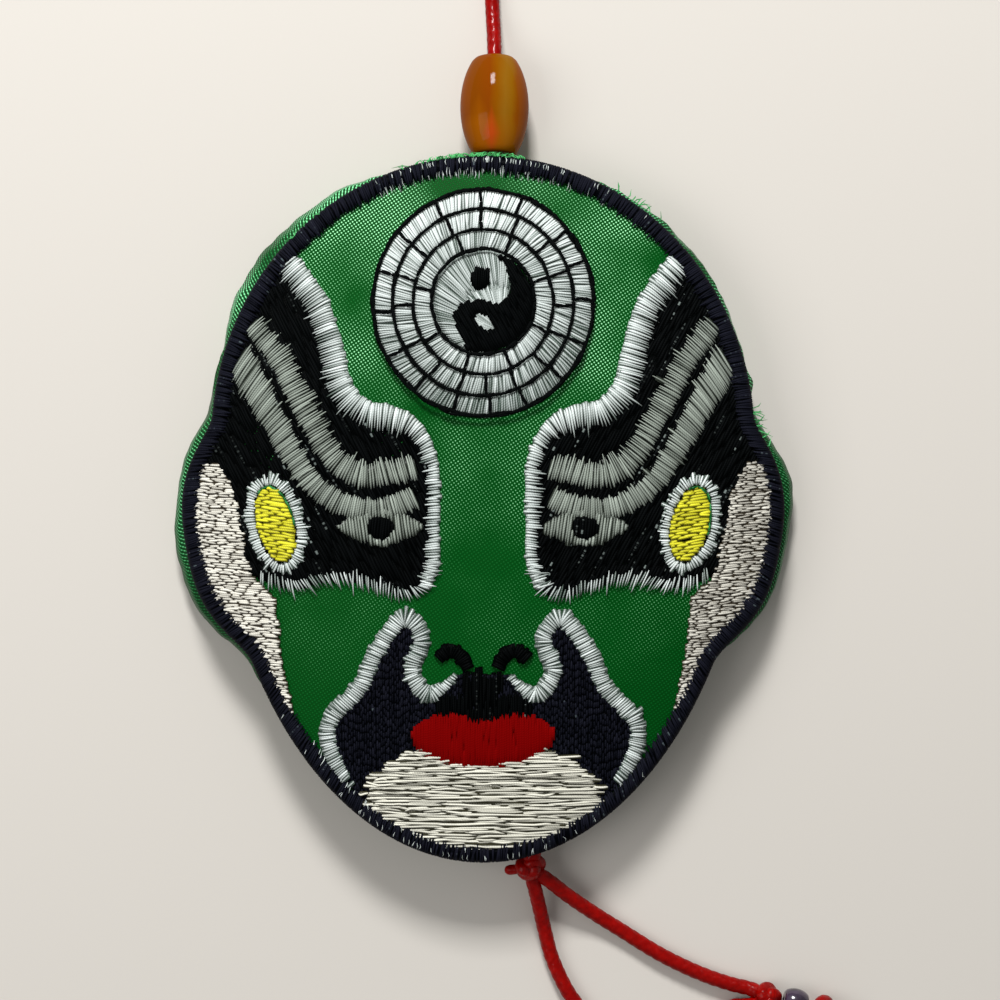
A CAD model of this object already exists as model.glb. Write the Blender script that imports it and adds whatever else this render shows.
import math

import bpy
import numpy as np
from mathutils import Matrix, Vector, noise


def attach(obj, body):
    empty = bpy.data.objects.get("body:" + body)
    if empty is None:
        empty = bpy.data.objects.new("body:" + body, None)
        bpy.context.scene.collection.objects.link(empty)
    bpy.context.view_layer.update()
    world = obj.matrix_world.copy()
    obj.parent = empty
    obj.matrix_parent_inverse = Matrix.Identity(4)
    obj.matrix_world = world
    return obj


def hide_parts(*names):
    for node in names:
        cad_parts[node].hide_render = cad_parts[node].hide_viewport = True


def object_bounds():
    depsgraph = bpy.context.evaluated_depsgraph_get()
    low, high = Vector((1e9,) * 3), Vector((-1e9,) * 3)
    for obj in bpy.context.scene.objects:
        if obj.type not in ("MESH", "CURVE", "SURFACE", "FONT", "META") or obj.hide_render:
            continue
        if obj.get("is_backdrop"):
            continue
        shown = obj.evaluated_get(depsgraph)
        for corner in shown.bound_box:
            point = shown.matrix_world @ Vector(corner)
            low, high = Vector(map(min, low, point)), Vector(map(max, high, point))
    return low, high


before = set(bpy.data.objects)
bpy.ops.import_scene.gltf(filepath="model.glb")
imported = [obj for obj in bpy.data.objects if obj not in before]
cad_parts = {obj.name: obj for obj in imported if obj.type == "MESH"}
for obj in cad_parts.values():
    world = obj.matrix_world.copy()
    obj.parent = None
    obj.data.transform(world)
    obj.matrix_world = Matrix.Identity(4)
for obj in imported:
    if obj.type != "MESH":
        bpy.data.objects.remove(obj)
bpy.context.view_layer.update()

# Camera: straight above the sachet, which lies on its back with the forehead up in the picture.
# At the height of the stitched edge the picture takes in 140 mm, from 341 mm away. The Standard view
# transform shows the dyes at their full depth.
SENSOR_WIDTH, PICTURE_WIDTH, EDGE_DISTANCE = 36, 140, 341


def in_scene(name, data):
    """A new object in the scene that holds the data."""
    made = bpy.data.objects.new(name, data)
    bpy.context.scene.collection.objects.link(made)
    return made


camera = in_scene("camera", bpy.data.cameras.new("camera"))
camera.location = (0.00238, 0.00126, 0.35)
camera.data.sensor_width = SENSOR_WIDTH
camera.data.lens = SENSOR_WIDTH * EDGE_DISTANCE / PICTURE_WIDTH
camera.data.clip_start = 0.01
bpy.context.scene.camera = camera
bpy.context.scene.view_settings.view_transform = "Standard"


# Cords: 2.1 mm round braided satin cord, red. One piece runs from the top seam through the bead to a knot and
# makes the loop above it. Two more leave the knot at the chin and meet again in the lower knots.
MM = 0.001
CORD_DIAMETER = 2.1
LAID = CORD_DIAMETER / 2 + 0.05
BRAID_STRANDS, BRAID_PITCH, FIBRES_A_STRAND = 4, 1.45, 5


class Shade:
    """A socket in a material. Sums written on it in Python add the Math nodes that work them out."""

    def __init__(self, tree, socket=None):
        self.tree = tree
        self.socket = socket

    def feed(self, target, value):
        if isinstance(value, Shade):
            self.tree.links.new(value.socket, target)
        elif isinstance(value, (tuple, list)) and target.type == "RGBA":
            target.default_value = (*value, 1)
        else:
            target.default_value = value

    def node(self, kind, settings=None, inputs=None, output=0):
        made = self.tree.nodes.new("ShaderNode" + kind)
        for key, value in (settings or {}).items():
            if key == "stops":
                steps = made.color_ramp.elements
                for element, (place, colour) in zip((steps[0], steps[1]), (value[0], value[-1])):
                    element.position, element.color = place, (*colour, 1)
                for place, colour in value[1:-1]:
                    steps.new(place).color = (*colour, 1)
            else:
                setattr(made, key, value)
        for key, value in (inputs or {}).items():
            self.feed(made.inputs[key], value)
        return Shade(self.tree, made.outputs[output])

    def math(self, operation, *values):
        return self.node("Math", {"operation": operation}, dict(enumerate(values)))

    def __add__(self, other):
        return self.math("ADD", self, other)

    def __radd__(self, other):
        return self.math("ADD", other, self)

    def __sub__(self, other):
        return self.math("SUBTRACT", self, other)

    def __rsub__(self, other):
        return self.math("SUBTRACT", other, self)

    def __mul__(self, other):
        return self.math("MULTIPLY", self, other)

    def __rmul__(self, other):
        return self.math("MULTIPLY", other, self)

    def __truediv__(self, other):
        return self.math("DIVIDE", self, other)

    def __abs__(self):
        return self.math("ABSOLUTE", self)

    def sin(self):
        return self.math("SINE", self)

    def clouds(self, scale, detail=2.0, **others):
        """Soft noise of about 0 to 1 at this place, finer with a larger scale."""
        return self.node("TexNoise", inputs={"Vector": self, "Scale": scale, "Detail": detail, **others})

    def within(self, low, high):
        """0 at low, 1 at high, held there beyond both."""
        return self.node("MapRange", {"clamp": True}, {"Value": self, "From Min": low, "From Max": high})

    def to(self, other, share):
        """The colour between this one and another."""
        return self.node("Mix", {"data_type": "RGBA"}, {0: share, 6: self, 7: other}, output=2)

    def between(self, dark, bright):
        """A colour between two, by this value."""
        return self.node("Mix", {"data_type": "RGBA"}, {0: self, 6: dark, 7: bright}, output=2)


def dye(*levels):
    """A colour as the eye names it, 0 to 255, in the light values that a material takes."""
    return tuple(((c / 255 + 0.055) / 1.055) ** 2.4 if c > 10 else c / 255 / 12.92 for c in levels)


class Finish:
    """A material with one shader. Constants go on the shader's own sockets."""

    def __init__(self, name, **constants):
        self.material = bpy.data.materials.new(name)
        self.material.use_nodes = True
        tree = self.material.node_tree
        self.shader = next(n for n in tree.nodes if n.type == "BSDF_PRINCIPLED")
        self.start = Shade(tree)
        for key, value in constants.items():
            self.set(key.replace("_", " "), value)

    def set(self, socket, value):
        self.start.feed(self.shader.inputs[socket], value)

    def place(self):
        """Where on the sachet a spot is, in metres, and how far right and up that is in millimetres."""
        spot = self.start.node("TexCoord", output=3)
        return spot, *(spot.node("SeparateXYZ", inputs={0: spot}, output=k) * 1000 for k in range(2))

    def along_and_across(self):
        """The two measures that a piece's corners carry, such as those along a thread and across it."""
        run = self.start.node("UVMap", {"uv_map": "run"})
        return [run.node("SeparateXYZ", inputs={0: run}, output=k) for k in range(2)]

    def raised(self, height, depth, strength=1.0):
        """Relief of that depth in millimetres from a height of 0 to 1."""
        settings = {"Height": height, "Distance": depth * MM, "Strength": strength}
        self.set("Normal", self.start.node("Bump", inputs=settings))


def piece(name, points, faces, finish, nodes=(), corners=None, tone=None):
    """A mesh from points in millimetres and four-cornered faces, riding on the sachet."""
    points = np.asarray(points, float).reshape(-1, 3)
    faces = np.asarray(faces, np.int32).reshape(-1, 4)
    mesh = bpy.data.meshes.new(name)
    mesh.vertices.add(len(points))
    mesh.vertices.foreach_set("co", (points * MM).astype(np.float32).ravel())
    mesh.loops.add(faces.size)
    mesh.loops.foreach_set("vertex_index", faces.ravel())
    mesh.polygons.add(len(faces))
    mesh.polygons.foreach_set("loop_start", np.arange(0, faces.size, 4, dtype=np.int32))
    mesh.polygons.foreach_set("use_smooth", np.full(len(faces), True))
    if corners is not None:
        layer = mesh.uv_layers.new(name="run")
        layer.data.foreach_set("uv", np.asarray(corners, np.float32).ravel())
    if tone is not None:
        mesh.attributes.new("tone", "FLOAT", "POINT").data.foreach_set("value", np.asarray(tone, np.float32))
    mesh.update(calc_edges=True)
    mesh.materials.append(finish.material)
    made = in_scene(name, mesh)
    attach(made, "root")
    if nodes:
        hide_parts(*nodes)
    return made


def run_along(line):
    """How far each point of a line is from its start, along it."""
    return np.concatenate([[0], np.cumsum(np.linalg.norm(np.diff(line, axis=0), axis=1))])


def curve_through(points, step, even=False):
    """Points a step apart on a smooth curve through those given. An even curve turns alike at each of them,
    and the other turns less where they are close together."""
    points = np.asarray(points, float)
    if even:
        ends = np.vstack([points[:1], points, points[-1:]])
    else:
        ends = np.vstack([2 * points[0] - points[1], points, 2 * points[-1] - points[-2]])
    share = np.linspace(0, 1, 32, endpoint=False)[:, None]
    line = []
    for p0, p1, p2, p3 in zip(ends, ends[1:], ends[2:], ends[3:]):
        if even:
            out, into = (p2 - p0) / 2, (p3 - p1) / 2
        else:
            d0, d1, d2 = (max(np.linalg.norm(b - a), 1e-4) ** 0.5 for a, b in ((p0, p1), (p1, p2), (p2, p3)))
            out = ((p1 - p0) / d0 - (p2 - p0) / (d0 + d1) + (p2 - p1) / d1) * d1
            into = ((p2 - p1) / d1 - (p3 - p1) / (d1 + d2) + (p3 - p2) / d2) * d1
        line.append(p1 + out * share + (3 * (p2 - p1) - 2 * out - into) * share ** 2
                    + (2 * (p1 - p2) + out + into) * share ** 3)
    line = np.vstack([*line, points[-1:]])
    run = run_along(line)
    places = np.linspace(0, run[-1], max(2, round(run[-1] / step) + 1))
    return np.column_stack([np.interp(places, run, line[:, k]) for k in range(line.shape[1])])


def rings_to_faces(rings, sides, closed=False):
    """The faces between rings of points, each joined to the next, and the last to the first if closed."""
    steps = np.arange(rings if closed else rings - 1)
    i, k = (a.ravel() for a in np.meshgrid(steps, np.arange(sides), indexing="ij"))
    after, beside = (i + 1) % rings, (k + 1) % sides
    return np.column_stack([i * sides + k, i * sides + beside, after * sides + beside, after * sides + k])


def braid(line, radius, sides=24, closed=False, relief=0.13):
    """Braided tube along a line: strands that pass over and under each other, and round ends."""
    count = len(line)
    run = run_along(line)
    if closed:
        along = np.roll(line, -1, axis=0) - np.roll(line, 1, axis=0)
    else:
        along = np.gradient(line, axis=0)
    along /= np.linalg.norm(along, axis=1)[:, None]
    side = np.cross(along[0], (0.1, 0.2, 1.0))
    rings = []
    angle = np.arange(sides) / sides * 2 * math.pi
    for i in range(count):
        side = side - along[i] * np.dot(side, along[i])
        side /= np.linalg.norm(side)
        up = np.cross(along[i], side)
        left = BRAID_STRANDS * angle / (2 * math.pi) + run[i] / BRAID_PITCH
        right = BRAID_STRANDS * angle / (2 * math.pi) - run[i] / BRAID_PITCH
        over = (np.floor(left) + np.floor(right)) % 2
        arch = np.where(over > 0, np.sin(math.pi * (left % 1)), np.sin(math.pi * (right % 1)))
        reach = radius * (1 - relief + relief * np.sqrt(np.clip(arch, 0, 1)))
        if not closed:
            from_end = min(min(run[i], run[-1] - run[i]) / radius, 1)
            reach = reach * math.sqrt(max(1 - (1 - from_end) ** 2, 0.0004))
        rings.append(line[i] + np.outer(np.cos(angle) * reach, side) + np.outer(np.sin(angle) * reach, up))
    faces = rings_to_faces(count, sides, closed)[:, (0, 3, 2, 1)]
    i, k = np.divmod(faces[:, 0], sides)
    length = run[i], run[i] + (run[-1] / max(count - 1, 1))
    turn = k / sides, (k + 1) / sides
    ends = ((0, 0), (1, 0), (1, 1), (0, 1))
    corners = np.stack([np.column_stack([length[a], turn[b]]) for a, b in ends], axis=1)
    return np.vstack(rings), faces, corners


cord_red = Finish("cord_red", Roughness=0.3, Specular_IOR_Level=0.05, Coat_Weight=0.14, Coat_Roughness=0.08)
length, turn = cord_red.along_and_across()
leftward = (turn * BRAID_STRANDS + length / BRAID_PITCH) * 2 * math.pi * FIBRES_A_STRAND
rightward = (turn * BRAID_STRANDS - length / BRAID_PITCH) * 2 * math.pi * FIBRES_A_STRAND
fibres = leftward.sin() * rightward.sin()
worn = cord_red.start.node("TexCoord", output=3).clouds(900.0, 4.0)
wear = (fibres * 0.25 + worn * 0.7).within(0.0, 0.75)
cord_red.set("Base Color", wear.between(dye(96, 0, 0), dye(164, 6, 1)))
cord_red.raised(fibres * 0.5 + 0.5, 0.03, 0.5)
cord_red.set("Roughness", worn.within(0.3, 0.8) * 0.16 + 0.2)

BEAD_CENTRE = np.array([1.6, 56.9, 4.98])
BEAD_TILT = math.radians(8)


def on_bead_axis(along):
    return BEAD_CENTRE + np.array([0, along, -along * math.tan(BEAD_TILT)])


def cord(name, points, node):
    """A length of cord, with its route and its length in metres."""
    line = curve_through(points, 0.22)
    points, faces, corners = braid(line, CORD_DIAMETER / 2)
    tube = piece(name, points, faces, cord_red, [node], corners)
    return tube, line * MM, run_along(line)[-1] * MM


bead_cord, bead_route, bead_cord_length = cord("cord_through_bead", [
    on_bead_axis(-7.8), on_bead_axis(-5), on_bead_axis(0), on_bead_axis(5), on_bead_axis(7.8),
    (1.5, 68, 2.5), (1.3, 71.5, 1.4), (1.2, 75, LAID), (1.1, 79.5, LAID), (1, 84, LAID), (1, 86, 1.7),
], "hanging_cord")
loop_cord, loop_route, loop_length = cord("cord_loop", [
    (0.2, 89, 1.9), (-0.4, 90.6, 1.5), (-1.6, 94, LAID), (-4, 100.5, LAID), (-5.6, 108, LAID),
    (-4.6, 115, LAID), (1, 119.6, LAID), (6.6, 115, LAID), (7.6, 108, LAID), (6, 100.5, LAID),
    (3.6, 94, LAID), (2.4, 90.6, 1.5), (1.8, 89, 1.9),
], "hanging_loop")
left_cord, left_route, left_length = cord("cord_strand_left", [
    (6.6, -51.1, 4.6), (7.2, -53.4, 4.2), (7.9, -56.4, 2.9), (8.7, -60, 1.5), (9.8, -64.2, LAID),
    (11.9, -68.8, LAID), (13.6, -71.3, LAID), (16.6, -75.6, LAID), (21.6, -79, LAID), (27, -79.3, LAID),
    (31.2, -76.5, LAID), (33.9, -72.8, LAID), (35.7, -71.3, LAID), (37.9, -71.1, LAID), (39.6, -70.4, 1.7),
], "strand_left")
right_cord, right_route, right_length = cord("cord_strand_right", [
    (7.0, -51.2, 4.6), (9.2, -52.7, 4.2), (12.2, -55.2, 2.9), (16.2, -58.1, 1.5), (19.8, -60.4, LAID),
    (25.5, -63.9, LAID), (31.2, -66.6, LAID), (35.6, -68.1, LAID), (38.1, -68.7, LAID), (39.9, -69.3, 1.7),
], "strand_right")

# Knots: the same cord, tied tight under the loop, at the chin, where the lower cords meet, and at their end.
# Each is a lump of crossing turns. At the chin a short end shows beside the knot, and a stub goes up to the
# seam.
LOWER_TURN = -14


def joined(parts):
    """Several meshes as one: points, faces, and whatever else each of them brings."""
    points, faces, *others = zip(*parts)
    starts = np.cumsum([0] + [len(p) for p in points[:-1]])
    faces = np.vstack([f + start for f, start in zip(faces, starts)])
    return [np.vstack(points), faces, *(np.concatenate(other) for other in others)]


def facing(degrees):
    """How far right and how far up a step of one goes in that direction."""
    return math.cos(math.radians(degrees)), math.sin(math.radians(degrees))


def knot(name, centre, radii, turn, node, extra=(), thick=1.0):
    """A closed line that winds through itself, in thick cord, with the short ends that are given as extra."""
    share = np.arange(170) / 170 * 2 * math.pi
    from_axis = 0.6 + 0.4 * np.cos(3 * share)
    path = np.column_stack([from_axis * np.cos(2 * share), from_axis * np.sin(2 * share), np.sin(3 * share)])
    path *= np.asarray(radii) - thick
    right, up = facing(turn)
    path = np.column_stack([path[:, 0] * right - path[:, 1] * up, path[:, 0] * up + path[:, 1] * right,
                            path[:, 2]])
    parts = [braid(path + centre, thick, 20, closed=True)]
    parts += [braid(curve_through(points, 0.12), thickness, 20) for points, thickness in extra]
    points, faces, corners = joined(parts)
    return piece(name, points, faces, cord_red, [node], corners)


upper_knot = knot("knot_under_loop", (1, 87.3, 2.2), (2.9, 3, 2.1), 0, "loop_knot", thick=1.02)
chin_knot = knot("knot_at_chin", (6.6, -50.7, 4.7), (2.4, 2.0, 2.1), 20, "bottom_knot", [
    ([(6.2, -51.0, 4.9), (4.6, -51.1, 4.7), (3.0, -51.3, 4.4)], 0.72),
    ([(6.8, -50.6, 5), (6.9, -49.4, 5.4), (6.9, -46.4, 5.6)], 1.3),
])
joining_knot = knot("knot_joining", (40.6, -69.6, 2), (2.1, 2, 1.95), LOWER_TURN, "joining_knot")
end_knot = knot("knot_at_end", (48.7, -71.8, 2.4), (2.4, 2.4, 2.3), LOWER_TURN, "end_knot")

# Beads: a turned and polished barrel of brown amber-coloured stone, flat at both ends, with an olive band and
# an orange glow at its lower end, and a small dark plum bead between the two lower knots. Both are threaded
# on the cord.
def bead(name, length, radius, end_radius, hole, finish, node, centre, axis):
    """A barrel turned from a profile that goes round through the hole, with its edges rounded off."""
    share = np.linspace(-1, 1, 41)
    bow = radius * np.sqrt(1 - share ** 2 * (1 - (end_radius / radius) ** 2))
    round_off = 0.12
    up = np.clip(share * length / 2, -length / 2 + round_off, length / 2 - round_off)
    lip = [(hole, length / 2 - round_off), (hole + round_off, length / 2), (bow[-1] - round_off, length / 2)]
    profile = np.array([(r, -z) for r, z in lip] + list(zip(bow, up)) + lip[::-1])
    sides = 96
    axis = Vector(axis).normalized()
    side = Vector((1, 0, 0)) if abs(axis.x) < 0.8 else Vector((0, 1, 0))
    side = (side - axis * side.dot(axis)).normalized()
    angle = np.arange(sides)[:, None] / sides * 2 * math.pi
    ring = np.cos(angle) * np.array(side) + np.sin(angle) * np.array(axis.cross(side))
    points = np.asarray(centre) + profile[:, 0, None, None] * ring \
        + profile[:, 1, None, None] * np.array(axis)
    return piece(name, points, rings_to_faces(len(profile), sides, closed=True), finish, [node])


amber = Finish("amber_stone", Roughness=0.25, Specular_IOR_Level=0.0, Coat_Weight=0.3, Coat_Roughness=0.04,
               Coat_IOR=1.3)
spot, x, y = amber.place()
x, y = x - float(BEAD_CENTRE[0]), y - float(BEAD_CENTRE[1])
cloud = spot.clouds(230.0, 3.0, Distortion=0.4)
grains = spot.node("ValToRGB", {"stops": [
    (0.02, dye(122, 58, 0)), (0.22, dye(114, 56, 0)), (0.44, dye(118, 54, 1)), (0.55, dye(124, 70, 0)),
    (0.66, dye(130, 86, 14)), (0.75, dye(132, 84, 4)), (0.82, dye(130, 66, 0)), (0.98, dye(126, 58, 0)),
]}, {0: x * 0.1 + 0.5 + (cloud - 0.5) * 0.1})
orange = 1 - (abs(x + 2.2) * 0.42 + abs(y + 2.8) * 0.22).within(0.1, 1.0)
ember = 1 - (abs(x + 0.4) * 0.7 + abs(y + 4.3) * 0.24).within(0.15, 1.0)
low_glow = (y * -1 - 1.5).within(0.0, 5.5)
colour = grains.to(dye(140, 76, 0), orange * 0.7)
colour = colour.to(dye(168, 92, 4), low_glow * 0.6)
amber.set("Base Color", colour.to(dye(172, 60, 16), ember * 0.8))
amber.set("Roughness", cloud * 0.1 + 0.14)
amber_bead = bead("bead_amber", 13.9, 4.85, 2.95, 1.35, amber, "amber_bead", BEAD_CENTRE,
                  (0, math.cos(BEAD_TILT), -math.sin(BEAD_TILT)))

plum = Finish("plum_stone", Roughness=0.18, Coat_Weight=0.5, Coat_Roughness=0.08)
cloud = plum.start.node("TexCoord", output=3).clouds(700.0)
plum.set("Base Color", cloud.within(0.35, 0.7).between(dye(20, 14, 24), dye(62, 48, 68)))
plum_bead = bead("bead_plum", 3.4, 2.1, 1.5, 0.525, plum, "plum_bead", (44.5, -70.6, 2.15),
                 (*facing(LOWER_TURN), 0))

# Stuffed back: green satin filled with loose fibre, sewn to the front all round and puckered by that seam.
# It bulges past the edge by other amounts on each side, and lies flat where the sachet rests. The outline is
# an egg with two ears that swell out of it.
HALF_WIDTH, HALF_TOP, HALF_LOW, WIDEST_LINE = 38.0, 39.5, 59.5, 10.0
EAR_STANDS_OUT, EAR_TURN, EAR_SPREAD = 5.2, -20.0, 25.0
SEAM_HEIGHT, CROWN, CROWN_POWER = 8.5, 7.0, 2.4
EDGING_WIDTH = 2.3


def egg_reach(angle):
    half_height = np.where(np.sin(angle) > 0, HALF_TOP, HALF_LOW)
    return 1 / np.hypot(np.cos(angle) / HALF_WIDTH, np.sin(angle) / half_height)


def outline_reach(angle):
    """How far the sewn outline, the egg with its ears, is from the middle of the widest line."""
    degrees = np.degrees(np.arcsin(np.clip(np.sin(angle), -1, 1)))
    share = np.minimum(1, np.abs(degrees - EAR_TURN) / EAR_SPREAD)
    return egg_reach(angle) + EAR_STANDS_OUT * (1 - share ** 3) ** 2


def front_height(x, y):
    """How high the domed front is at a place."""
    x, y = np.asarray(x, float), np.asarray(y, float)
    share = np.hypot(x, y - WIDEST_LINE) / egg_reach(np.arctan2(y - WIDEST_LINE, x))
    return SEAM_HEIGHT + CROWN * (1 - share ** CROWN_POWER)


def on_outline(angle, inset):
    """The places that are so far inside the outline."""
    reach = outline_reach(angle) - inset
    return reach * np.cos(angle), WIDEST_LINE + reach * np.sin(angle)


def rough(x, y, z=0.0, seed=0.0):
    """Soft noise of about -0.5 to 0.5 at each place."""
    return np.array([noise.noise((a, b, c + seed)) for a, b, c in np.broadcast(x, y, z)])


def satin(name, deep, middle, bright, roughness, gloss, wrapped=False):
    """Woven satin: slanted rows of short floats that catch the light in broad uneven patches.
    Wrapped satin has its weave laid along the cloth by the piece's corners, and shows one slant more."""
    cloth = Finish(name, Roughness=roughness, Specular_IOR_Level=gloss)
    spot, x, y = cloth.place()
    weft, warp = cloth.along_and_across() if wrapped else (x, y)
    twill = 0.78 if wrapped else 0.5
    step = 2 * math.pi / 0.43
    drift = spot.clouds(120.0) * 2.2
    first = (weft * (step * 0.83) + warp * (step * 0.56) + drift).sin()
    second = (weft * (step * -0.56) + warp * (step * 0.83) + drift).sin()
    grain = spot.clouds(4200.0)
    dots = (first * twill + second * (1 - twill) + (grain - 0.5) * 0.6).within(0.05, 0.92)
    patches = spot.clouds(62.0).within(0.34, 0.66) * y.within(-30.0, 22.0)
    light = dots * (patches * 0.85 + 0.24)
    colour = light.within(0.0, 0.45).between(deep, middle)
    cloth.set("Base Color", colour.to(bright, light.within(0.3, 0.9)))
    cloth.set("Roughness", roughness + 0.08 - dots * 0.12)
    cloth.raised(dots, 0.05, 0.8)
    return cloth


back_satin = satin("green_satin_back", dye(0, 54, 16), dye(10, 112, 48), dye(146, 244, 176), 0.32, 0.14, True)
SIDES = 480
angle = np.arange(SIDES) / SIDES * 2 * math.pi
# Directions in degrees, and how far the back stands out past the sewn outline in each of them.
BULGES = [(0, 1.5), (8, 0.6), (20, 0.9), (44, 1.3), (60, 0.9), (75, 0.2), (90, -0.9), (105, 0.3), (120, 1.7),
          (140, 2.5), (152, 2.1), (163, 0.7), (171, 1.1), (180, 2.1), (190, 1.3), (199, 2.1), (212, 1.7),
          (228, 0.8), (250, -0.5), (270, -0.9), (295, -0.5), (312, 0.3), (325, 0.9), (335, 1.2), (346, 1.6),
          (354, 2.2), (360, 1.5)]
window = np.hanning(17) / np.hanning(17).sum()
puff = np.interp(np.degrees(angle), *zip(*BULGES))
puff = np.convolve(np.concatenate([puff[-8:], puff, puff[:8]]), window, "valid")
seam = front_height(*on_outline(angle, 0))
# The side from the seam down to the floor, as insets from the outline and heights.
profile = [(np.full(SIDES, 2.6), seam - 1.6), (np.maximum(0.5, -puff), seam - 1.7),
           (-0.6 * puff, seam * 0.66), (-puff, seam * 0.52), (0.78 - puff, seam * 0.28),
           (3.5 - puff / 2, seam * 0.08), (np.full(SIDES, 7.0), seam * 0)]
profile = curve_through(np.array([np.concatenate(row) for row in profile]), 40, even=True)


def towards_middle(x, y, share):
    return x * share, WIDEST_LINE + (y - WIDEST_LINE) * share


shell = []
for share in (0.0003, 0.3, 0.55, 0.75, 0.9):
    x, y = towards_middle(*on_outline(angle, 2.6), share)
    shell.append(np.column_stack([x, y, front_height(x, y) - 1.5]))
for row in profile:
    inset, height = row[:SIDES], row[SIDES:]
    near_seam = np.clip(height / 6.8, 0, 1) ** 1.5 * np.clip((7.4 - height) / 1.2, 0, 1)
    folds = rough(np.cos(angle) * 11, np.sin(angle) * 11, height * 0.08) * 0.55 \
        + rough(np.cos(angle) * 24, np.sin(angle) * 24, height * 0.05, 7) * 0.45
    x, y = on_outline(angle, inset - folds * near_seam)
    shell.append(np.column_stack([x, y, np.clip(height, 0, None)]))
for share in (0.8, 0.5, 0.25, 0.08, 0.0003):
    shell.append(np.column_stack([*towards_middle(x, y, share), np.zeros(SIDES)]))
shell = np.array(shell)
down = np.linalg.norm(np.diff(shell, axis=0, prepend=shell[:1]), axis=2).mean(axis=1).cumsum()
along_seam = run_along(np.column_stack(on_outline(np.append(angle, 2 * math.pi), 0)))
weave = np.stack(np.meshgrid(along_seam, down), axis=2)
corners = np.stack([weave[1:, :-1], weave[1:, 1:], weave[:-1, 1:], weave[:-1, :-1]], axis=2)
stuffed = piece("back_of_satin", shell, rings_to_faces(len(shell), SIDES)[:, ::-1], back_satin,
                ["stuffed_back"], corners)

# Front: a panel of the same green satin, drawn tight over the filling and held by the stitched edge.
# The pull of the embroidery leaves it softly uneven.
front_satin = satin("green_satin_front", dye(0, 66, 14), dye(12, 100, 38), dye(168, 246, 184), 0.42, 0.04)
RINGS = 110
panel = []
for share in np.linspace(0, 1, RINGS) * 0.9998 + 0.0002:
    reach = (outline_reach(angle) - 0.9) * share
    x, y = reach * np.cos(angle), WIDEST_LINE + reach * np.sin(angle)
    relief = rough(x / 9, y / 9, 0, 3) * 0.22 + rough(x / 3.1, y / 3.1, 0, 9) * 0.07
    relief = relief * (1 - share ** 6) * min(share * 9, 1)
    panel.append(np.column_stack([x, y, front_height(x, y) - 0.12 + relief]))
front = piece("front_of_satin", np.vstack(panel), rings_to_faces(RINGS, SIDES), front_satin,
              ["front_panel"])

# Edging: black rayon satin stitch over the raw edge, all the way round. Each stitch goes over the edge from a
# ragged line on the front to the seam. At the forehead and the chin the pale lower thread shows between them.
EDGE_SPACING = 0.29


def thread_finish(name, deep, bright, gloss=0.12, roughness=0.42, fleck=None):
    """Rayon embroidery thread: twisted filaments with a soft shine, some stitches lighter than others."""
    thread = Finish(name, Roughness=roughness, Specular_IOR_Level=gloss)
    along, across = thread.along_and_across()
    tone = thread.start.node("Attribute", {"attribute_name": "tone"}, output=2)
    twist = (along * 2 * math.pi / 0.34 + across * 2.4).sin() * 0.5 + 0.5
    crest = 1 - across * across
    light = tone * 0.62 + crest * 0.5 + twist * 0.12 - 0.3
    colour = light.within(0.0, 1.0).between(deep, bright)
    if fleck:
        inputs = {"W": along + tone * 40, "Scale": 1.7, "Detail": 2.0}
        break_up = along.node("TexNoise", {"noise_dimensions": "1D"}, inputs)
        colour = colour.to(fleck, tone.within(0.8, 0.95) * break_up.within(0.52, 0.62) * crest)
    thread.set("Base Color", colour)
    thread.set("Roughness", roughness + (tone - 0.5) * 0.1)
    thread.raised(twist * crest, 0.03, 0.6)
    return thread


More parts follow.
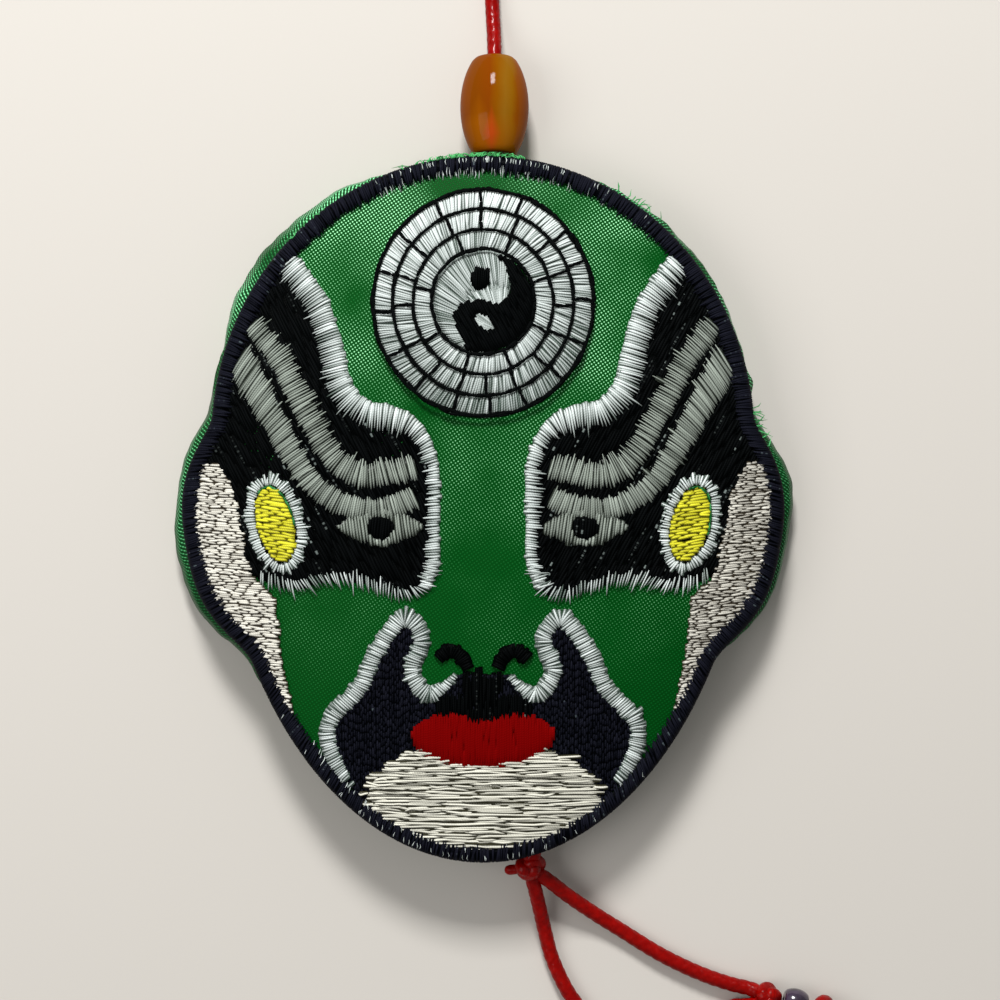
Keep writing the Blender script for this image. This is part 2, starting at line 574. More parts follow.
def strips(line, width=0.36, thick=0.16, seed=0, tone=0.55, spread=0.2, taper=(0.3, 0.3), wave=0.03,
           fade=(0, 0), across=4, out=(0, 0, 1)):
    """Arched strips, one a stitch, along lines of a few points each. Both ends run out to a tip, but a strip
    without thickness is flat and square at its ends."""
    rng = np.random.default_rng(seed)
    line = np.asarray(line, float)
    count, stations = line.shape[:2]
    steps = np.linalg.norm(np.diff(line, axis=1), axis=2)
    reach = np.concatenate([np.zeros((count, 1)), np.cumsum(steps, axis=1)], axis=1)
    share = reach / np.maximum(reach[:, -1:], 1e-6)
    run = line[:, -1] - line[:, 0]
    side = np.column_stack([-run[:, 1], run[:, 0], np.zeros(count)])
    side /= np.maximum(np.linalg.norm(side, axis=1), 1e-6)[:, None]
    ripple = np.sin(share * math.pi * 2 + rng.uniform(0, 6.28, (count, 1)))
    bend = np.sin(share * math.pi) + ripple * 0.6 * (1 - (2 * share - 1) ** 4)
    line = line + (rng.normal(0, wave, (count, 1)) * bend)[..., None] * side[:, None]
    tip = share * 0 + 1
    if thick:
        tip = np.minimum(1, 0.2 + 0.8 * share / taper[0]) * np.minimum(1, 0.2 + 0.8 * (1 - share) / taper[1])
    half = tip * width / 2 * rng.uniform(0.85, 1.15, (count, 1))
    section = np.linspace(-1, 1, across)
    arch = tip[..., None] * thick * np.sqrt(np.clip(1 - section ** 2, 0, 1))
    points = line[:, :, None] + (half[..., None] * section)[..., None] * side[:, None, None] \
        + arch[..., None] * np.broadcast_to(np.asarray(out, float), line.shape)[:, :, None]
    i, k = (a.ravel() for a in np.meshgrid(np.arange(stations - 1), np.arange(across - 1), indexing="ij"))
    first = i * across + k
    one = np.column_stack([first, first + 1, first + across + 1, first + across])
    faces = (np.arange(count)[:, None, None] * stations * across + one[None]).reshape(-1, 4)
    measures = np.broadcast_arrays((reach + rng.uniform(0, 3, (count, 1)))[..., None], section)
    corners = np.stack(measures, axis=-1).reshape(-1, 2)[faces.ravel()].reshape(-1, 4, 2)
    shade = np.clip(rng.normal(0, 1, count) * spread + tone, -1, 1)[:, None]
    shade = shade + fade[0] * (1 - share) + fade[1] * share
    return points.reshape(-1, 3), faces, corners, np.repeat(shade.ravel(), across)


def sewn(name, layers, finish, nodes=()):
    """One piece from layers of stitches."""
    points, faces, corners, tone = joined(layers)
    return piece(name, points, faces, finish, nodes, corners, tone)


EDGE_PROFILE = np.array([(1.0, -0.1), (0.88, 0.42), (0.66, 0.86), (0.42, 1.06), (0.2, 0.98), (0.05, 0.62),
                         (-0.02, 0.05), (0.0, -0.6), (0.08, -1.3)])
rng = np.random.default_rng(11)


def over_the_edge(around, width, lean, lift=0.0):
    """Lines over the edge, and the way out of the edge along each of them."""
    lines = []
    for share, height in EDGE_PROFILE:
        x, y = on_outline(around + lean * share, width * share)
        lines.append(np.column_stack([x, y, front_height(x, y) + height + lift]))
    lines = np.stack(lines, axis=1)
    outward = (lines[:, 5] - lines[:, 0]) * (1, 1, 0)
    outward /= np.linalg.norm(outward, axis=1)[:, None]
    turned = (np.linspace(0, 1, len(EDGE_PROFILE)) ** 2)[None, :, None]
    return lines, outward[:, None] * turned + np.array([0, 0, 1.0]) * (1 - turned)


navy_thread = thread_finish("thread_navy", dye(1, 2, 5), dye(30, 31, 42), 0.02, 0.6, fleck=dye(74, 84, 88))
turns = np.linspace(0, 2 * math.pi, 6001)
run = run_along(np.column_stack(on_outline(turns, 0.8)))
count = int(run[-1] / EDGE_SPACING)
around = (np.arange(count) + rng.uniform(-0.25, 0.25, count)) / count * run[-1]
around = np.interp(around, run, turns)
width = 2.45 + np.abs(rng.normal(0, 0.26, count))
lean = rng.normal(0.004, 0.004, count)
kept = rng.uniform(0, 1, count) > 0.02 + 0.1 * np.abs(np.sin(around)) ** 12
lines, outward = over_the_edge(around[kept], width[kept], lean[kept])
under, under_out = over_the_edge(around, 2.35, 0, -0.12)
sewn("edging_stitches", [
    strips(lines, 0.31, 0.1, 12, 0.5, 0.2, (0.15, 0.05), 0.02, out=outward),
    strips(under[:, 1:8], 0.6, 0, 13, -1, 0, wave=0, across=2, out=under_out[:, 1:8]),
], navy_thread, ["edging"])

EDGE_INSETS = (0, 0.12, 0.5, 1.05, 1.65, 2.2, 2.5, 3)
EDGE_HEIGHTS = (0.2, 0.68, 1.04, 1.12, 0.92, 0.5, 0.15, 0.0)
white_thread = thread_finish("thread_white", dye(60, 76, 66), dye(247, 255, 252))
flecks = []
for turn, spread, count, white in ((90, 13, 130, 0.4), (262, 13, 90, 0.75)):
    places = np.radians(turn + rng.normal(0, spread, count))
    outer = rng.uniform(0, 1, count) < 0.45
    begin = np.where(outer, 1.1, 2.9 + rng.normal(0, 0.2, count))
    end = np.where(outer, 0.1, 1.9 + rng.normal(0, 0.3, count))
    line = []
    for share, lift in ((0, 0.0), (0.5, 0.12), (1, 0.0)):
        inset = begin + (end - begin) * share
        x, y = on_outline(places + rng.normal(0, 0.002, count), inset)
        level = np.interp(inset, EDGE_INSETS, EDGE_HEIGHTS)
        line.append(np.column_stack([x, y, front_height(x, y) + level + lift]))
    flecks.append(strips(np.stack(line, axis=1), 0.12, 0.06, turn, white, 0.3))
sewn("edge_lower_threads", flecks, white_thread)

# Frayed ends: a few green threads of the satin's raw edge that stick out past the edging, over the bead's
# lower end, at the upper right, above the right ear and at the upper left.
FRAYED = ((92.5, 5.0, 110, 1.0), (57, 2.2, 11, 1.9), (2.5, 2.6, 13, 2.3), (131, 9, 12, 0.8))
green_thread = thread_finish("thread_green", dye(0, 72, 20), dye(96, 200, 120), 0.1, 0.35)
frays = []
for turn, spread, count, far in FRAYED:
    places = np.radians(turn + rng.normal(0, spread, count))
    root = front_height(*on_outline(places, 0.4)) + 0.35
    lean = rng.normal(0, 0.02, count)
    line = []
    for share, lift in ((0, -0.2), (0.3, 0.35), (0.65, 0.3), (1, -0.2)):
        out = rng.uniform(0.6, 1, count) * far * share
        x, y = on_outline(places + lean * share ** 2, 0.35 - out)
        line.append(np.column_stack([x, y, root + lift - out * 0.25]))
    frays.append(strips(np.stack(line, axis=1), 0.17, 0.08, int(turn * 10), 0.6, 0.35, wave=0.12))
sewn("frayed_ends", frays, green_thread)

# Ears: flesh-coloured rayon in rows of short, nearly level stitches, ragged where they end on the satin.
# The left and right ear are alike, and the light falls on the left one more.
HALF_FACE = (38.0, 49.5)


def over_the_front(ends, rise, low=-0.1, loose=0.0, seed=0):
    """Lines of stitches laid on the front, from the places of their ends."""
    ends = np.asarray(ends, float)
    a, b = ends[:, :2], ends[:, 2:4]
    length = np.linalg.norm(b - a, axis=1)
    bow = np.minimum(rise - low, 0.24 + 0.16 * length)[:, None]
    share = ((1 - np.cos(np.linspace(0, math.pi, 8))) / 2)[None]
    x, y = (a[:, k, None] + (b - a)[:, k, None] * share for k in (0, 1))
    lift = np.random.default_rng(seed).normal(0, loose, (len(ends), 1)) if loose else 0
    height = front_height(x, y) + low + (bow + lift) * (1 - (2 * share - 1) ** 4)
    return np.stack([x, y, height], axis=-1)


def on_face(shares, side=1):
    """Points of the face from hundredths of its half width and half height."""
    shares = np.asarray(shares, float)
    return np.column_stack([side * shares[:, 0] * HALF_FACE[0] / 100, shares[:, 1] * HALF_FACE[1] / 100])


def side_box(side, inner, outer, low, high):
    """A part of one side of the face, as its left, lower, right and upper bounds."""
    left, right = sorted((side * inner, side * outer))
    return left, low, right, high


def beside(line, x, y, side):
    """True for points further out than a line that runs up or down the face."""
    order = np.argsort(line[:, 1])
    return side * x > side * np.interp(y, line[order, 1], line[order, 0])


def inside_edge(x, y, inset=EDGING_WIDTH - 0.6):
    """True for points of the front that the edging leaves free, or almost."""
    turn = np.arctan2(y - WIDEST_LINE, x)
    return np.hypot(x, y - WIDEST_LINE) < outline_reach(turn) - inset


def rows(inside, box, slant, spacing, length, jag=0.25, seed=0, grow=0.15, vary=0.1, stagger=0.382, sway=0.0):
    """Stitches that fill an area in rows, slanted by so many degrees, each row broken in another place."""
    rng = np.random.default_rng(seed)
    cosine, sine = facing(slant)
    x0, y0, x1, y1 = box
    middle = np.array([(x0 + x1) / 2, (y0 + y1) / 2])
    half = math.hypot(x1 - x0, y1 - y0) / 2
    t = np.arange(-half, half, 0.12)

    def spot(along, across):
        return middle[0] + along * cosine - across * sine, middle[1] + along * sine + across * cosine

    ends = []
    for number, offset in enumerate(np.arange(-half, half, spacing)):
        offset = offset + rng.uniform(-0.05, 0.05)
        x, y = spot(t, offset)
        hit = inside(x, y) & (x > x0) & (x < x1) & (y > y0) & (y < y1)
        edges = np.flatnonzero(np.diff(np.concatenate([[0], hit.astype(int), [0]])))
        for start, stop in zip(edges[::2], edges[1::2]):
            if stop - start < 3:
                continue
            first = t[start] - grow - abs(rng.normal(0, jag))
            last = t[stop - 1] + grow + abs(rng.normal(0, jag))
            cuts = [first]
            broken = 0.35 + 0.65 * ((number * stagger) % 1)
            place = first + length * broken * rng.uniform(1 - vary, 1 + vary)
            while place < last - length * 0.3:
                cuts.append(place)
                place += length * rng.uniform(1 - vary, 1 + vary)
            cuts.append(last)
            for a, b in zip(cuts, cuts[1:]):
                off, on = offset + rng.normal(0, sway, 2)
                ends.append((*spot(a, off), *spot(b, on)))
    return np.array(ends)


def embroider(name, ends, finish, slot, nodes, rise=0.4, seed=0, low=-0.1, under=(0, 1), deep=-1.0, loose=0.0,
              **look):
    """Stitches laid on the front, over a flat layer of the same thread that fills the gaps between them. The
    layer covers a share of each stitch, given as under, and has the tone deep."""
    layers = [strips(over_the_front(ends, rise, low, loose, seed), seed=seed, **look)]
    if under:
        a, b = ends[:, :2], ends[:, 2:4]
        shorter = np.hstack([a + (b - a) * under[0], a + (b - a) * under[1]])
        flat = over_the_front(shorter, rise - 0.1, low)[:, (0, 2, 5, 7)]
        layers.append(strips(flat, 0.62, 0, seed, deep, 0, wave=0, across=2))
    return sewn(name, layers, finish, nodes)


flesh_thread = thread_finish("thread_flesh", dye(58, 50, 36), dye(255, 252, 238))
EAR_INNER = [(98, 13), (92, 4), (89.5, -6), (85.3, -18.8), (77.4, -25.5), (75.5, -38.4), (70, -62)]
ear_lines = {}
for word, side in (("left", -1), ("right", 1)):
    ear_line = curve_through(on_face(EAR_INNER, side), 0.5, even=True)
    ear_lines[side] = ear_line
    top, low = ear_line[0, 1], ear_line[-1, 1]
    inside = lambda x, y: inside_edge(x, y) & beside(ear_line, x, y, side) & (y < top) & (y > low)
    box = side_box(side, 20, 45, -32, 8)
    ends = rows(inside, box, side * 4, 0.32, 1.9, 0.3, 20 + side, vary=0.35, stagger=0.5, sway=0.08)
    embroider(f"ear_{word}_threads", ends, flesh_thread, "flesh_thread", [f"ear_{word}"], 0.45, 30 + side,
              deep=-0.25, tone=0.8 if side < 0 else 0.45, spread=0.2, loose=0.04, taper=(0.16, 0.16),
              width=0.33, thick=0.12, low=0.12)

# Brow patches: a black thread ground with a wide white border on its inner side and a thin pale fringe below,
# two silver-grey bands that sweep up to the temple, a grey almond with a black pupil, and a yellow oval in a
# white ring.
BORDER = [(79, 76.5), (72.9, 69.9), (61.9, 58.5), (57.5, 50.1), (54.6, 41.7), (52.8, 35.6), (49.2, 30.5),
          (43, 26.6), (33.8, 25.3), (26.6, 23.4), (21.2, 18.6), (18.6, 12.6), (18, 6.2), (18.2, -4.5),
          (18.2, -14.3), (21.5, -22), (29.5, -23.8), (37.5, -21.6), (49.2, -19.4), (58, -19.6), (67.3, -21.4),
          (75, -20.8), (83, -18.6)]
LOWER_CORNER = 15
BAND_UPPER = [(89, 58), (85.2, 53.8), (80.5, 49.4), (74, 43.3), (68.9, 36.1), (65.2, 30.2), (61.2, 24.6),
              (57, 18.8), (51.6, 13.4), (44.8, 10.4), (37.5, 10), (30.2, 11.2), (23.6, 12.3)]
BAND_LOWER = [(95, 49), (91.1, 45), (86.7, 38.6), (80.2, 30.1), (74, 21.6), (67.8, 13.3), (61.2, 6.5),
              (52.5, 1.9), (44.8, 0.2), (37.5, 0), (30.2, 1.3), (24.5, 3.2)]
EYE, EYE_WIDTH, EYE_HEIGHT, PUPIL = (37, -5), 12.0, 4.8, 1.8
TEMPLE, TEMPLE_HALVES, TEMPLE_RING, TEMPLE_LEAN = (75.8, -4.2), (2.4, 5.2), 1.6, 14.0


def smooth_step(share, low, high):
    share = np.clip((share - low) / (high - low), 0, 1)
    return share * share * (3 - 2 * share)


def band(path, width, spacing=0.4, skew=0.0, jag=(0.25, 0.25), seed=0, keep=None):
    """Satin stitches across a band along a path. Skew moves one end ahead, and the ends are ragged."""
    rng = np.random.default_rng(seed)
    line = curve_through(path, 0.1, even=True)
    along = np.gradient(line, axis=0)
    along /= np.linalg.norm(along, axis=1)[:, None]
    across = np.column_stack([-along[:, 1], along[:, 0]])
    count = int((len(line) - 1) * 0.1 / spacing)
    share = (np.arange(count) + 0.5 + rng.uniform(-0.2, 0.2, count)) / count
    half = (width(share) if callable(width) else width) / 2
    lead = (skew(share) if callable(skew) else skew) * 10

    def at(values, shift):
        spot = np.clip(share * (len(line) - 1) + shift, 0, len(line) - 1)
        return np.column_stack([np.interp(spot, np.arange(len(line)), values[:, k]) for k in range(2)])

    left_half = half + np.abs(rng.normal(0, jag[0], count)) - jag[0] / 3
    right_half = half + np.abs(rng.normal(0, jag[1], count)) - jag[1] / 3
    left = at(line, lead) + at(across, lead) * left_half[:, None]
    right = at(line, -lead) - at(across, -lead) * right_half[:, None]
    ends = np.hstack([left, right])
    return ends if keep is None else ends[keep(*left.T) & keep(*right.T)]


def in_polygon(edge):
    """A test that is true for points inside a closed line."""
    edge = np.asarray(edge, float)
    after = np.roll(edge, -1, axis=0)
    climb = np.where(after[:, 1] == edge[:, 1], 1e-9, after[:, 1] - edge[:, 1])

    def inside(x, y):
        crosses = (edge[:, 1] > y[:, None]) != (after[:, 1] > y[:, None])
        meets = x[:, None] < (after[:, 0] - edge[:, 0]) * (y[:, None] - edge[:, 1]) / climb + edge[:, 0]
        return (crosses & meets).sum(axis=1) % 2 == 1
    return inside


def oval(centre, halves, lean):
    """A test that is true for points inside an oval that leans by so many degrees."""
    cosine, sine = facing(lean)

    def inside(x, y):
        dx, dy = x - centre[0], y - centre[1]
        return np.hypot((dx * cosine + dy * sine) / halves[0], (-dx * sine + dy * cosine) / halves[1]) < 1
    return inside


def oval_line(centre, halves, lean, turns):
    cosine, sine = facing(lean)
    x, y = halves[0] * np.cos(turns), halves[1] * np.sin(turns)
    return np.column_stack([centre[0] + x * cosine - y * sine, centre[1] + x * sine + y * cosine])


def running(path, length=1.9, passes=2, drift=0.07, seed=0):
    """A thin line sewn in stitches end to end, gone over more than once."""
    rng = np.random.default_rng(seed)
    line = curve_through(path, 0.1, even=True)
    ends = []
    for _ in range(passes):
        spots = np.arange(rng.uniform(0, 1) * length * 5, len(line) - 1, length * 10)
        spots = np.concatenate([[0], spots + rng.uniform(-2, 2, len(spots)), [len(line) - 1]])
        points = np.column_stack([np.interp(spots, np.arange(len(line)), line[:, k]) for k in range(2)])
        points = points + rng.normal(0, drift, points.shape)
        ends.append(np.hstack([points[:-1], points[1:]]))
    return np.vstack(ends)


def inner_first(side, pair):
    """A pair for both ends of a band's stitches, the one nearer the nose first, in the band's own order."""
    return pair if side < 0 else pair[::-1]


def box_round(centre, half_width, half_height):
    return centre[0] - half_width, centre[1] - half_height, centre[0] + half_width, centre[1] + half_height


black_thread = thread_finish("thread_black", dye(0, 1, 1), dye(9, 11, 12), 0.02, 0.6,
                             fleck=dye(112, 122, 118))
grey_thread = thread_finish("thread_grey", dye(40, 46, 38), dye(178, 188, 176))
yellow_thread = thread_finish("thread_yellow", dye(88, 82, 0), dye(255, 250, 60))
for word, side in (("left", -1), ("right", 1)):
    border, lower = on_face(BORDER, side), on_face(BAND_LOWER, side)
    upper = on_face(BAND_UPPER, side) + (side * 0.3, -0.3)
    eye, temple = on_face([EYE, TEMPLE], side)
    border_line = curve_through(border, 0.4, even=True)
    ear_line = ear_lines[side]
    ear_top = ear_line[0, 1]
    outer_corners = [(side * 60, border_line[-1, 1]), (side * 60, border_line[0, 1])]
    patch = in_polygon(np.vstack([border_line, outer_corners]))
    by_ear = lambda x, y: beside(ear_line, x, y, side)
    on_satin = lambda x, y: inside_edge(x, y, 1.6) & ~(by_ear(x, y) & (y < ear_top))
    inside = lambda x, y: patch(x, y) & inside_edge(x, y) & ~(by_ear(x, y) & (y < ear_top - 0.3))

    ground = rows(inside, side_box(side, 5, 40, -14, 42), side * 62, 0.4, 4.6, 0.15, 40 + side, vary=0.35)
    embroider(f"brow_ground_{word}_threads", ground, black_thread, "black_thread", [f"brow_ground_{word}"],
              0.28, 50 + side, under=(-0.06, 1.06), wave=0.05, width=0.42)
    rim = band(border[:LOWER_CORNER + 1], lambda share: 3.6 - 1.7 * smooth_step(share, 0.52, 0.68), 0.36,
               0.1 * side, inner_first(side, (0.16, 0.5)), 60 + side, on_satin)
    embroider(f"brow_border_{word}_threads", rim, white_thread, "pale_thread", [f"brow_border_{word}"], 0.7,
              61 + side, tone=0.48, under=(0, 0.66) if side < 0 else (0.34, 1), deep=0.05,
              taper=inner_first(side, (0.12, 0.6)), fade=inner_first(side, (0.3, -0.25)))
    fringe = band(border[LOWER_CORNER - 1:], 1.9, 0.42, 0.4 * side, (0.5, 0.4), 65 + side, on_satin)
    embroider(f"brow_fringe_{word}_threads", fringe, white_thread, "pale_thread", [], 0.55, 66 + side,
              tone=0.35, spread=0.3, taper=(0.5, 0.5), under=None, width=0.27)

    top_band = band(upper, lambda share: 3.4 + 0.5 * share, 0.36, 0.12 * side, inner_first(side, (0.6, 0.25)),
                    70 + side, on_satin)
    embroider(f"band_upper_{word}_threads", top_band, grey_thread, "grey_thread", [f"brow_band_upper_{word}"],
              0.72, 71 + side, tone=0.62, taper=inner_first(side, (0.55, 0.3)), under=(0.15, 0.85), deep=-0.4)
    low_band = band(lower, lambda share: 5.2 - 1.8 * smooth_step(share, 0.0, 0.6), 0.34,
                    lambda share: side * 1.5 * (1 - smooth_step(share, 0.0, 0.6)), (0.25, 0.3), 80 + side,
                    on_satin)
    embroider(f"band_lower_{word}_threads", low_band, grey_thread, "grey_thread", [f"brow_band_lower_{word}"],
              0.68, 81 + side, tone=0.53, taper=(0.3, 0.3), under=(0.08, 0.92), deep=-0.25)

    almond = lambda x, y: np.abs(y - eye[1]) < EYE_HEIGHT / 2 * (1 - ((x - eye[0]) / (EYE_WIDTH / 2)) ** 2)
    pupil = oval(eye, (PUPIL, PUPIL), 0)
    field = lambda x, y: almond(x, y) & ~pupil(x, y)
    field_rows = rows(field, box_round(eye, 7, 4), 90 - side * 8, 0.42, 9, 0.25, 90 + side)
    embroider(f"eye_{word}_threads", field_rows, grey_thread, "grey_thread", [f"eye_field_{word}"], 0.7,
              91 + side, low=0.1, tone=0.5)
    pupil_rows = rows(pupil, box_round(eye, 7, 4), 84, 0.38, 9, 0.2, 93 + side)
    embroider(f"pupil_{word}_threads", pupil_rows, black_thread, "black_thread", [f"eye_pupil_{word}"], 0.8,
              94 + side, low=0.15)

    lean = -side * TEMPLE_LEAN
    loop = oval_line(temple, np.add(TEMPLE_HALVES, 1.05), lean, np.linspace(0, 2 * math.pi, 121))
    ring = band(loop, TEMPLE_RING, 0.36, 0.05, (0.2, 0.4), 96 + side)
    embroider(f"temple_ring_{word}_threads", ring, white_thread, "pale_thread", [f"temple_ring_{word}"], 0.6,
              97 + side, deep=0.0, taper=(0.2, 0.5), fade=(0.05, 0.25), width=0.33)
    oval_rows = rows(oval(temple, TEMPLE_HALVES, lean), box_round(temple, 7, 7), side * 8, 0.4, 2.6, 0.15,
                     100 + side, vary=0.3, stagger=0.5, sway=0.1)
    embroider(f"temple_oval_{word}_threads", oval_rows, yellow_thread, "yellow_thread",
              [f"temple_oval_{word}"], 0.85, 101 + side, deep=0.3, tone=0.7, spread=0.15, width=0.4, low=0.45,
              thick=0.12, taper=(0.1, 0.1))
    shadow = oval_line(temple, np.add(TEMPLE_HALVES, (0.3, 0.2)), lean, np.radians(np.linspace(-10, 120, 40)))
    embroider(f"temple_shade_{word}_threads", running(shadow, 1.4, 2, 0.06, 104 + side), green_thread,
              "green_satin", [], 0.8, 105 + side, low=0.6, under=None, tone=-0.1, width=0.3)

# Forehead medallion: white thread laid in rings of radial stitches, with black thread lines round and across
# them, and a round two-part sign in the middle, half black and half pale, each half with a dot of the other.
MEDALLION = np.array([0.05, 28.6])
RING_RADII, TALLER = [15.2, 12.5, 9.7, 7.1], 1.045
RING_TONES, RING_SHEEN = (0.44, 0.48, 0.45), (0.42, 0.2, -0.1)
SPOKES = [(92, 69, 40.5, 22, 0, -22, -44, -66, -86, -105.5, -128.6, -151, -176, 164, 141, 116.5),
          (91, 67, 42, 20, -2, -23, -44, -68, -88, -107, -128, -150, -177, 163, 142, 115),
          (113, 67, 20, -26, -66, -106, -146, 168)]
SIGN_CURVE = [(2.3, 6.3), (3.4, 4.6), (4.1, 1.8), (3.5, 0.2), (1.9, -0.7), (-0.4, 0.0), (-3.2, -0.7),
              (-3.7, -2.4), (-3.2, -4.3), (-2.3, -6.0)]
rng = np.random.default_rng(5)


def polar(radius, turn):
    """Places on a ring of the disc, which is a little taller than wide."""
    return MEDALLION[0] + radius * np.cos(turn), MEDALLION[1] + radius * TALLER * np.sin(turn)


parts = []
for number, (outer, inner) in enumerate(zip(RING_RADII, RING_RADII[1:])):
    count = int(2 * math.pi * outer / 0.36)
    turn = (np.arange(count) + rng.uniform(-0.2, 0.2, count)) / count * 2 * math.pi
    skew = rng.normal(0.6, 0.15, count) / outer
    ring = np.column_stack([*polar(outer + 0.15, turn), *polar(inner - 0.15, turn + skew)])
    parts.append((ring, RING_TONES[number] + RING_SHEEN[number] * np.sin(turn - 0.2)))
turn = np.radians(np.arange(56, 270, 2.9))
focus = MEDALLION + (2.6, -4.2)
for begin, end in ((0.0, 0.46), (0.4, 0.95)):
    a = np.column_stack(polar(6.9, turn + rng.normal(0, 0.01, len(turn))))
    way = focus - a
    jitter = rng.uniform(-0.06, 0.06, (len(turn), 2))
    starts = a + way * (begin + jitter[:, :1]) * (begin > 0)
    parts.append((np.hstack([starts, a + way * (end + jitter[:, 1:])]), np.full(len(turn), 0.22)))
ends, tone = (np.concatenate(part) for part in zip(*parts))
embroider("medallion_threads", ends, white_thread, "pale_thread", ["medallion_disc"], 0.5, 7, -0.02,
          deep=0.12, tone=tone, spread=0.2, taper=(0.15, 0.15), width=0.33)
lines = []
full = np.linspace(0, 2 * math.pi, 73)
for radius, passes, drift in zip(RING_RADII, (5, 3, 3, 3), (0.13, 0.09, 0.08, 0.1)):
    lines.append(running(np.column_stack(polar(radius, full)), 1.7, passes, drift, int(radius * 10)))
for (outer, inner), turns in zip(zip(RING_RADII, RING_RADII[1:]), SPOKES):
    for number, degrees in enumerate(turns):
        turn, bend = math.radians(degrees), rng.normal(0, 0.02)
        path = [polar(outer, turn), polar((outer + inner) / 2, turn + bend), polar(inner, turn + bend / 2)]
        lines.append(running(path, 1.5, 2, 0.05, 200 + number))
embroider("medallion_line_threads", np.vstack(lines), black_thread, "black_thread", ["medallion_lines"],
          0.86, 8, 0.68, under=None, width=0.4, thick=0.12, tone=0.3, spread=0.15, taper=(0.12, 0.12))
arc = np.linspace(math.atan2(-6.0, -2.3), math.atan2(6.3, 2.3), 40)
dark_edge = np.vstack([np.array(SIGN_CURVE), 6.75 * np.column_stack([np.cos(arc), np.sin(arc)])]) + MEDALLION
dark_half, pale_leaf = in_polygon(dark_edge), oval(MEDALLION + (0.14, -2.9), (1.9, 1.0), -46)
in_dark = lambda x, y: dark_half(x, y) & ~pale_leaf(x, y)
SIGN_BOX = (-8, 20, 8, 37)
dark_rows = rows(in_dark, SIGN_BOX, 120, 0.32, 5, 0.25, 9, vary=0.3)
embroider("taiji_dark_threads", dark_rows, black_thread, "black_thread", ["taiji_dark"], 0.85, 10, 0.7,
          tone=0.25, spread=0.12, width=0.44)
dot = oval(MEDALLION + (-0.28, 3.3), (1.25, 1.2), 0)
embroider("taiji_dot_threads", rows(dot, SIGN_BOX, 88, 0.3, 6, 0.4, 12), black_thread, "black_thread",
          ["taiji_dot"], 0.95, 13, 0.45, tone=0.2, spread=0.1)

# Nose, beard and mouth: black thread nostril lines, white bands that curl round the beard, a black beard in
# short staggered stitches with longer black strands below the nose, dark red lips, and a cream chin of long
# loose level threads.
MOUTH_LINE, CHIN_LINE = -0.63, -0.81
BEARD_BAND = [(9.5, -46.5), (19.5, -52.2), (26, -45), (22.2, -36.4), (28.6, -30.3), (38.9, -40.4),
              (44.7, -50.1), (56.4, -60.6), (53.4, -72.7), (38, -88)]
NOSTRIL = [(16, -41.6), (12, -39.2), (7.8, -41), (5.4, -44.2)]
MOUTH_HALF, LIP_RISE, LIP_DROP, BOW_DIP = 9.75, 2.9, 4.4, 1.4
mouth_y = MOUTH_LINE * HALF_FACE[1]


def lips(x, y):
    """The mouth: an upper lip with a dip in its middle over a fuller lower one."""
    share = np.clip(np.abs(x) / MOUTH_HALF, 0, 1)
    top = mouth_y + LIP_RISE * np.sqrt(1 - share ** 2.2) * 1.02 - BOW_DIP * np.exp(-(x / 2.4) ** 2)
    low = mouth_y - LIP_DROP * np.sqrt(1 - share ** 2.4) * 0.98
    return (y < top) & (y > low) & (np.abs(x) < MOUTH_HALF)


chin = oval((0, CHIN_LINE * HALF_FACE[1]), (15.5, 8.0), 0)
beard_lines = {side: on_face(BEARD_BAND, side) for side in (-1, 1)}
for word, side in (("left", -1), ("right", 1)):
    curve = band(on_face(NOSTRIL, side), 1.8, 0.32, jag=(0.2, 0.2), seed=110 + side)
    embroider(f"nostril_{word}_threads", curve, black_thread, "black_thread", [f"nostril_{word}"], 0.6,
              111 + side, tone=0.3)
    widths = lambda share: 0.9 + 1.5 * smooth_step(share, 0.0, 0.1) - 1.1 * smooth_step(share, 0.78, 1.0)
    curl = band(beard_lines[side], widths, 0.35, 0.14 * side, (0.2, 0.2), 113 + side,
                lambda x, y: inside_edge(x, y, 1.6))
    embroider(f"beard_band_{word}_threads", curl, white_thread, "pale_thread", [f"beard_band_{word}"], 0.65,
              114 + side, deep=-0.05, taper=(0.35, 0.35), tone=0.5, spread=0.22, width=0.32)
left, right = (curve_through(beard_lines[side], 0.4, even=True) for side in (-1, 1))
beard = in_polygon(np.vstack([right, [(8, -56), (-8, -56)], left[::-1]]))
in_beard = lambda x, y: beard(x, y) & inside_edge(x, y) & ~chin(x, y) & ~lips(x, y)
beard_rows = rows(in_beard, (-25, -50, 25, -12), 90, 0.32, 1.15, 0.1, 120, vary=0.35, sway=0.03)
embroider("beard_threads", beard_rows, navy_thread, "black_thread", ["beard_ground"], 0.24, 121, tone=0.3,
          spread=0.2, width=0.36, thick=0.1, low=0.02)
in_strands = lambda x, y: in_beard(x, y) & (np.abs(x) < np.where(y > -26, 2.7, 6.5)) & (y > -30)
strand_rows = rows(in_strands, (-8, -32, 8, -20), 90, 0.3, 6, 0.5, 126, vary=0.4, sway=0.05)
embroider("beard_strand_threads", strand_rows, black_thread, "black_thread", [], 0.5, 127, tone=0.4,
          spread=0.3, width=0.34, low=0.1)
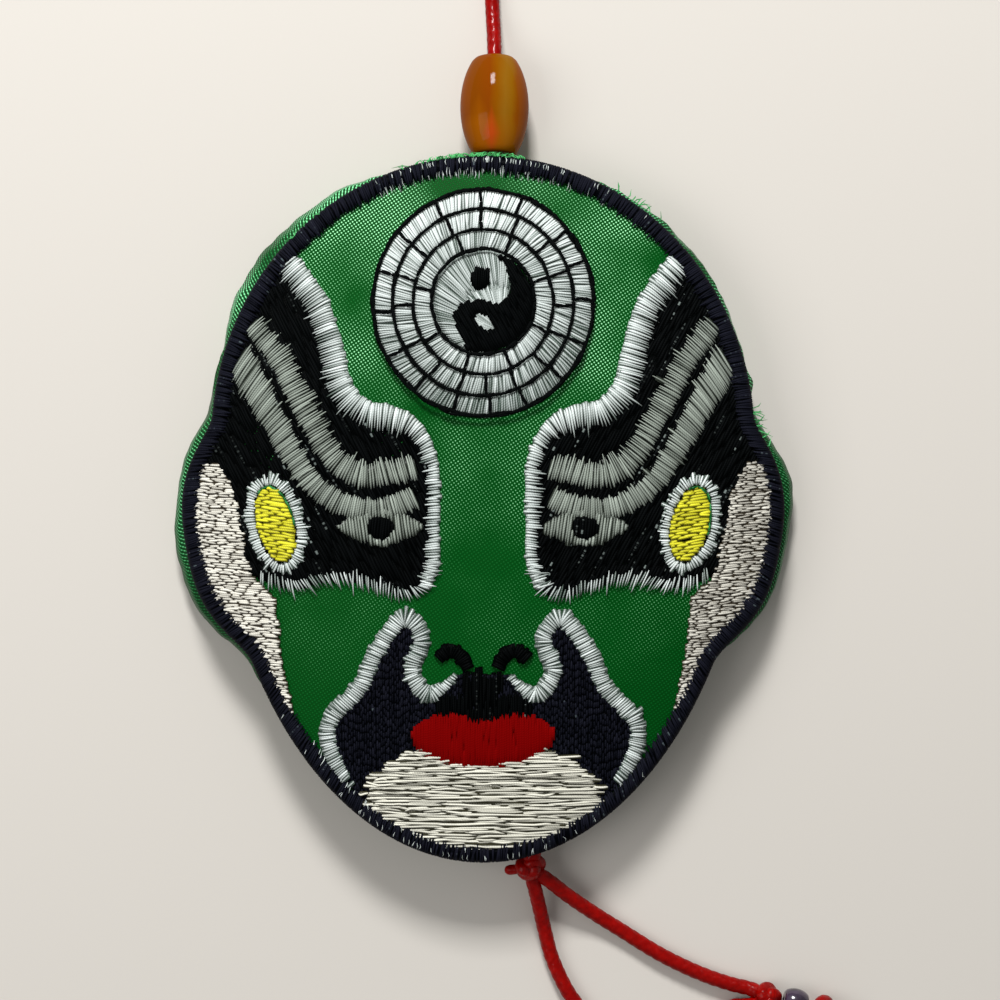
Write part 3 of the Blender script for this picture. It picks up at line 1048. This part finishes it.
red_thread = thread_finish("thread_red", dye(110, 0, 0), dye(124, 2, 2), 0.02, 0.6)
lip_rows = rows(lips, (-12, -40, 12, -24), 90, 0.34, 9, 0.3, 122, vary=0.3)
embroider("lip_threads", lip_rows, red_thread, "red_thread", ["lips"], 0.7, 123, deep=0.4, width=0.46,
          thick=0.05, spread=0.1, low=0.4)
cream_thread = thread_finish("thread_cream", dye(56, 54, 36), dye(255, 253, 236))
in_chin = lambda x, y: chin(x, y) & ~lips(x, y) & inside_edge(x, y)
chin_rows = rows(in_chin, (-18, -50, 18, -28), 0, 0.28, 6.5, 1.1, 124, vary=0.6, stagger=0.618, sway=0.09)
embroider("chin_threads", chin_rows, cream_thread, "cream_thread", ["chin"], 0.55, 125, deep=-0.2, wave=0.1,
          loose=0.07, tone=0.82, spread=0.28, width=0.3, thick=0.12, low=0.2, taper=(0.07, 0.07))

# Floor and light: a plain pale sheet of paper under the sachet, a soft lamp above the forehead and a weaker
# one at the left, which gives little shine.
LAMPS = (("key_lamp", (-0.05, 0.5, 0.42), 0.14, 4.9, 1.0), ("fill_lamp", (-0.4, -0.05, 0.5), 0.4, 1.3, 0.15))
paper = Finish("paper", Roughness=0.9)
paper.set("Base Color", dye(205, 200, 192))
sheet = bpy.data.meshes.new("floor")
sheet.from_pydata([(-5, -5, 0), (5, -5, 0), (5, 5, 0), (-5, 5, 0)], [], [(0, 1, 2, 3)])
sheet.materials.append(paper.material)
floor = in_scene("floor", sheet)
floor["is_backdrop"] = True
for name, place, size, power, shine in LAMPS:
    lamp = in_scene(name, bpy.data.lights.new(name, "AREA"))
    lamp.data.size, lamp.data.energy, lamp.data.specular_factor = size, power, shine
    lamp.location = place
    lamp.rotation_euler = (-Vector(place)).to_track_quat("-Z", "Y").to_euler()
world = bpy.data.worlds.new("room")
bpy.context.scene.world = world
world.use_nodes = True
world.node_tree.nodes["Background"].inputs["Color"].default_value = (1, 1, 1, 1)
world.node_tree.nodes["Background"].inputs["Strength"].default_value = 0.3

low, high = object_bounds()
